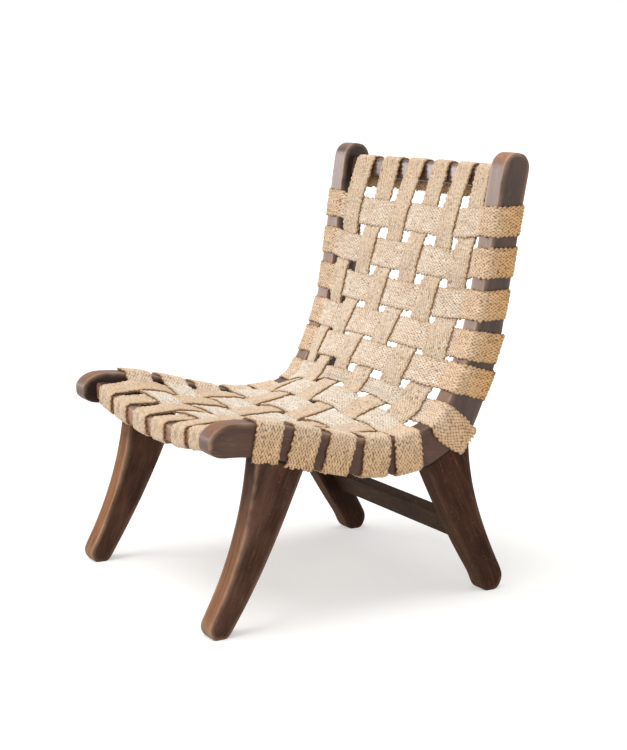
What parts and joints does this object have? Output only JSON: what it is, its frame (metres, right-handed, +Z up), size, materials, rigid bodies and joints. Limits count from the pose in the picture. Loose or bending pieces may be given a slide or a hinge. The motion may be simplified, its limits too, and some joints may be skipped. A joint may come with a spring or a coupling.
{
  "type": "lounge chair",
  "caption": "Low lounge chair with bent dark wood side frames, sabre legs and a dished seat and back of woven webbing.",
  "frame": {"origin": "on the floor, in the middle of the chair's footprint box", "axes": "+Z up, -Y the way the chair faces, +X to the sitter's left"},
  "size_m": [0.5918, 0.6135, 0.7722],
  "materials": {
    "dark_stained_wood": "satin",
    "hidden_joinery_wood": "raw",
    "jute_webbing": "matte"
  },
  "bodies": {
    "root": {"front_rail": "dark_stained_wood", "top_rail": "dark_stained_wood", "rear_stretcher": "dark_stained_wood", "seat_rail_left": "dark_stained_wood", "back_post_left": "dark_stained_wood", "front_leg_left": "dark_stained_wood", "rear_leg_left": "dark_stained_wood", "seat_rail_right": "dark_stained_wood", "back_post_right": "dark_stained_wood", "front_leg_right": "dark_stained_wood", "rear_leg_right": "dark_stained_wood", "bend_tongue_left": "hidden_joinery_wood", "front_leg_left_dowel_1": "hidden_joinery_wood", "front_leg_left_dowel_2": "hidden_joinery_wood", "rear_leg_left_dowel_1": "hidden_joinery_wood", "rear_leg_left_dowel_2": "hidden_joinery_wood", "bend_tongue_right": "hidden_joinery_wood", "front_leg_right_dowel_1": "hidden_joinery_wood", "front_leg_right_dowel_2": "hidden_joinery_wood", "rear_leg_right_dowel_1": "hidden_joinery_wood", "rear_leg_right_dowel_2": "hidden_joinery_wood", "long_strap_1": "jute_webbing", "long_strap_2": "jute_webbing", "long_strap_3": "jute_webbing", "long_strap_4": "jute_webbing", "long_strap_5": "jute_webbing", "long_strap_6": "jute_webbing", "cross_strap_01": "jute_webbing", "cross_strap_02": "jute_webbing", "cross_strap_03": "jute_webbing", "cross_strap_04": "jute_webbing", "cross_strap_05": "jute_webbing", "cross_strap_06": "jute_webbing", "cross_strap_07": "jute_webbing", "cross_strap_08": "jute_webbing", "cross_strap_09": "jute_webbing", "cross_strap_10": "jute_webbing", "cross_strap_11": "jute_webbing"}
  },
  "joints": []
}
